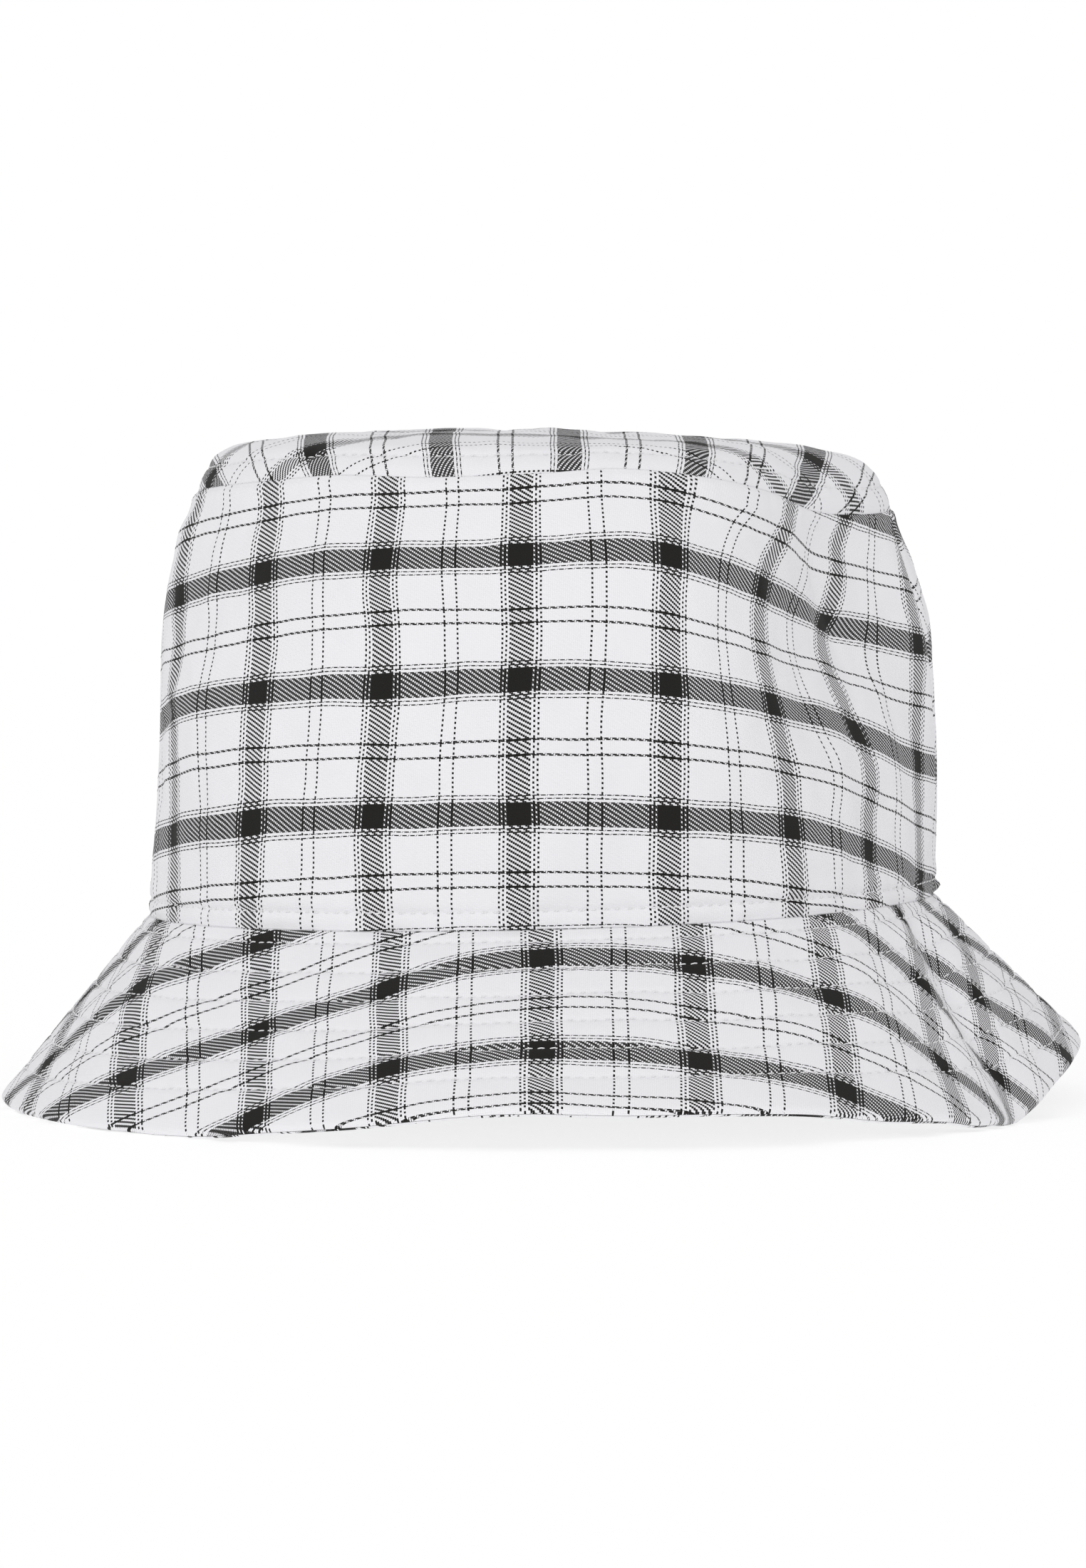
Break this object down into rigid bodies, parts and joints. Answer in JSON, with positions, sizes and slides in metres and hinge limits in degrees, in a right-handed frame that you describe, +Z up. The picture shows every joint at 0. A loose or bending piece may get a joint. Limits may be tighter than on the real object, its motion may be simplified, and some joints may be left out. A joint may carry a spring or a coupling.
{
  "type": "bucket hat",
  "caption": "Soft bucket hat in black and white checked cotton twill, with a domed crown and a stitched, sloping brim.",
  "frame": {"origin": "bottom centre of the hat's box, on the surface that the edge of the brim stands on", "axes": "+Z up through the crown, -Y towards the hat's front, +X to the right of someone who faces its front"},
  "size_m": [0.2527, 0.2654, 0.1563],
  "materials": {
    "check_cloth": "brushed cotton twill, black check on white",
    "lining_cotton": "plain white cotton",
    "interlining": "non-woven stiffener",
    "label_satin": "blank white satin tape",
    "thread": "white sewing thread"
  },
  "bodies": {
    "hat": {"crown_front": "check_cloth", "crown_back": "check_cloth", "crown_tip": "check_cloth", "brim_top_front": "check_cloth", "brim_top_back": "check_cloth", "brim_under_front": "check_cloth", "brim_under_back": "check_cloth", "brim_interlining_front": "interlining", "brim_interlining_back": "interlining", "lining_front": "lining_cotton", "lining_back": "lining_cotton", "lining_tip": "lining_cotton", "sweatband": "lining_cotton", "woven_label": "label_satin", "topstitch_tip": "thread", "topstitch_crown_base": "thread", "topstitch_brim_1": "thread", "topstitch_brim_2": "thread", "topstitch_brim_3": "thread", "topstitch_brim_4": "thread", "topstitch_brim_5": "thread", "topstitch_brim_6": "thread"},
    "care_label": {"care_label": "label_satin"}
  },
  "joints": [
    {"name": "care_label_flap", "type": "hinge", "parent": "hat", "child": "care_label", "pos_m": [-0.03553, 0.08166, 0.07751], "axis": [-0.9135, -0.4067, 0], "range_deg": [0, 150]}
  ]
}
